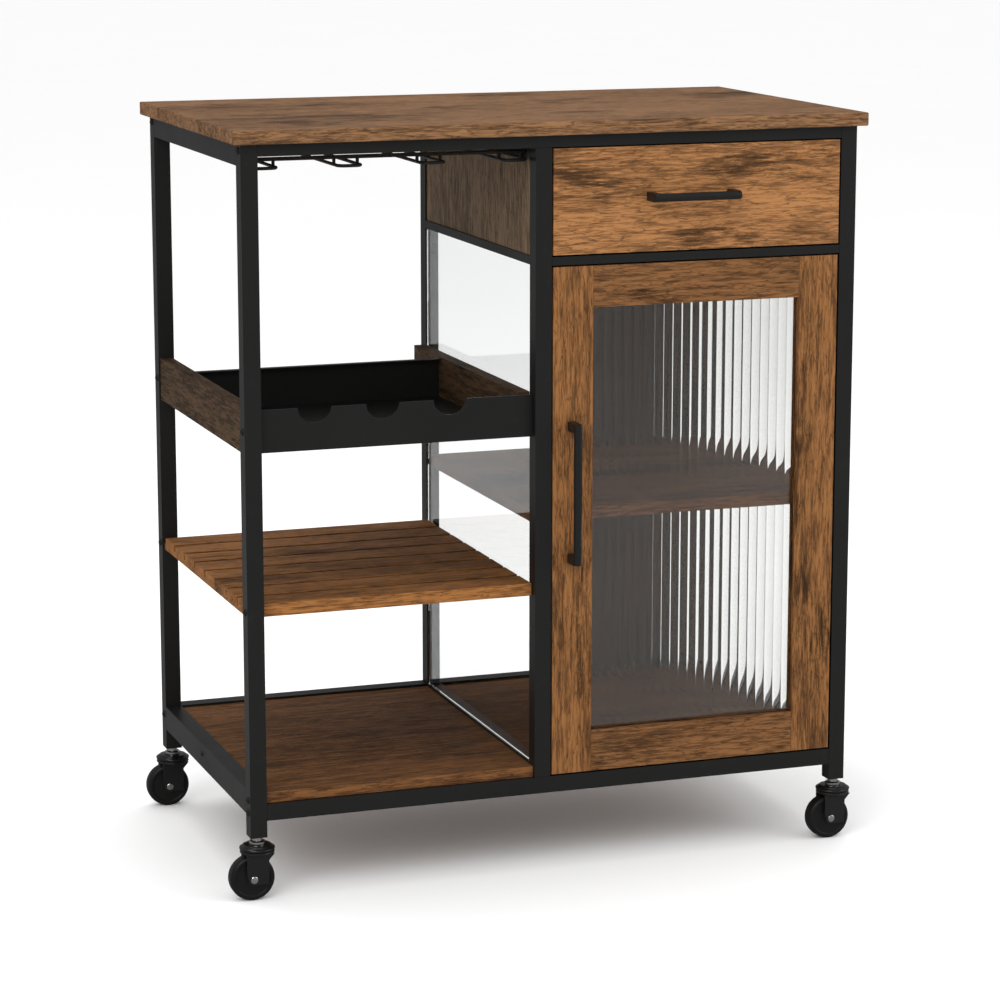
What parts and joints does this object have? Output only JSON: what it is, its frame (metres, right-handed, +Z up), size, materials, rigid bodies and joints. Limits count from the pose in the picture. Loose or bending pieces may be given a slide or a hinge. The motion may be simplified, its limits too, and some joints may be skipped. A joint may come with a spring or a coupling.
{
  "type": "bar cart on wheels",
  "caption": "Bar cart with a black square-tube frame, wooden top, drawer, fluted-glass door, bottle tray, slatted shelf, stemware rack and swivel casters.",
  "frame": {"origin": "on the floor under the middle of the whole object's outer box", "axes": "+Z up, -Y towards the front with the door and drawer, +X to the right as seen from the front"},
  "size_m": [0.7954, 0.469, 0.9],
  "materials": {
    "black_steel": "satin black powder coat, fine grain",
    "bare_steel": "bare zinc-plated steel",
    "bright_steel": "bright plated stem under a black cap",
    "tabletop_wood": "matte rustic brown woodgrain along the length",
    "front_wood": "matte warm brown woodgrain with dark knots",
    "dark_wood": "matte rustic brown woodgrain",
    "clear_glass": "clear polished sheet",
    "ribbed_glass": "clear glass with upright half-round ribs",
    "wheel_rubber": "matte black tread and hub"
  },
  "bodies": {
    "frame": {"post_front_left": "black_steel", "post_back_left": "black_steel", "post_front_middle": "black_steel", "post_back_middle": "black_steel", "post_front_right": "black_steel", "post_back_right": "black_steel", "top_rail_front": "black_steel", "top_rail_back": "black_steel", "top_rail_left": "black_steel", "top_rail_middle": "black_steel", "top_rail_right": "black_steel", "bottom_rail_front": "black_steel", "bottom_rail_back": "black_steel", "bottom_rail_left": "black_steel", "bottom_rail_middle": "black_steel", "bottom_rail_right": "black_steel", "drawer_rail_front": "black_steel", "drawer_rail_middle": "black_steel", "drawer_rail_right": "black_steel", "tabletop": "tabletop_wood", "bottom_board_left": "dark_wood", "cupboard_floor": "dark_wood", "cupboard_shelf": "dark_wood", "cupboard_back": "dark_wood", "side_glass_left": "clear_glass", "side_glass_right": "clear_glass", "drawer_panel_left": "dark_wood", "drawer_panel_right": "dark_wood", "wine_tray": "black_steel", "tray_board_left": "dark_wood", "tray_board_right": "dark_wood", "slatted_shelf": "dark_wood", "stemware_rack": "black_steel", "drawer_runner_left": "bare_steel", "drawer_runner_right": "bare_steel", "caster_stem_front_left": "bright_steel", "caster_stem_front_right": "bright_steel", "caster_stem_back_left": "bright_steel", "caster_stem_back_right": "bright_steel"},
    "drawer": {"drawer_front": "front_wood", "drawer_side_left": "dark_wood", "drawer_side_right": "dark_wood", "drawer_back": "dark_wood", "drawer_bottom": "dark_wood", "drawer_handle": "black_steel"},
    "door": {"door_stile_left": "front_wood", "door_stile_right": "front_wood", "door_rail_top": "front_wood", "door_rail_bottom": "front_wood", "door_glass": "ribbed_glass", "door_handle": "black_steel"},
    "fork_front_left": {"caster_fork_front_left": "black_steel"},
    "wheel_front_left": {"caster_wheel_front_left": "wheel_rubber"},
    "fork_front_right": {"caster_fork_front_right": "black_steel"},
    "wheel_front_right": {"caster_wheel_front_right": "wheel_rubber"},
    "fork_back_left": {"caster_fork_back_left": "black_steel"},
    "wheel_back_left": {"caster_wheel_back_left": "wheel_rubber"},
    "fork_back_right": {"caster_fork_back_right": "black_steel"},
    "wheel_back_right": {"caster_wheel_back_right": "wheel_rubber"}
  },
  "joints": [
    {"name": "drawer_slide", "type": "slide", "parent": "frame", "child": "drawer", "axis": [0, -1, 0], "range_m": [0, 0.25]},
    {"name": "door_hinge", "type": "hinge", "parent": "frame", "child": "door", "pos_m": [0.35725, -0.201, 0.424], "axis": [0, 0, 1], "range_deg": [0, 110]},
    {"name": "swivel_front_left", "type": "hinge", "parent": "frame", "child": "fork_front_left", "pos_m": [-0.36275, -0.196, 0.058], "axis": [0, 0, 1], "continuous": true},
    {"name": "wheel_front_left_spin", "type": "hinge", "parent": "fork_front_left", "child": "wheel_front_left", "pos_m": [-0.37025, -0.196, 0.027], "axis": [0, 1, 0], "continuous": true},
    {"name": "swivel_front_right", "type": "hinge", "parent": "frame", "child": "fork_front_right", "pos_m": [0.37725, -0.196, 0.058], "axis": [0, 0, 1], "continuous": true},
    {"name": "wheel_front_right_spin", "type": "hinge", "parent": "fork_front_right", "child": "wheel_front_right", "pos_m": [0.36975, -0.196, 0.027], "axis": [0, 1, 0], "continuous": true},
    {"name": "swivel_back_left", "type": "hinge", "parent": "frame", "child": "fork_back_left", "pos_m": [-0.36275, 0.214, 0.058], "axis": [0, 0, 1], "continuous": true},
    {"name": "wheel_back_left_spin", "type": "hinge", "parent": "fork_back_left", "child": "wheel_back_left", "pos_m": [-0.37025, 0.214, 0.027], "axis": [0, 1, 0], "continuous": true},
    {"name": "swivel_back_right", "type": "hinge", "parent": "frame", "child": "fork_back_right", "pos_m": [0.37725, 0.214, 0.058], "axis": [0, 0, 1], "continuous": true},
    {"name": "wheel_back_right_spin", "type": "hinge", "parent": "fork_back_right", "child": "wheel_back_right", "pos_m": [0.36975, 0.214, 0.027], "axis": [0, 1, 0], "continuous": true}
  ]
}
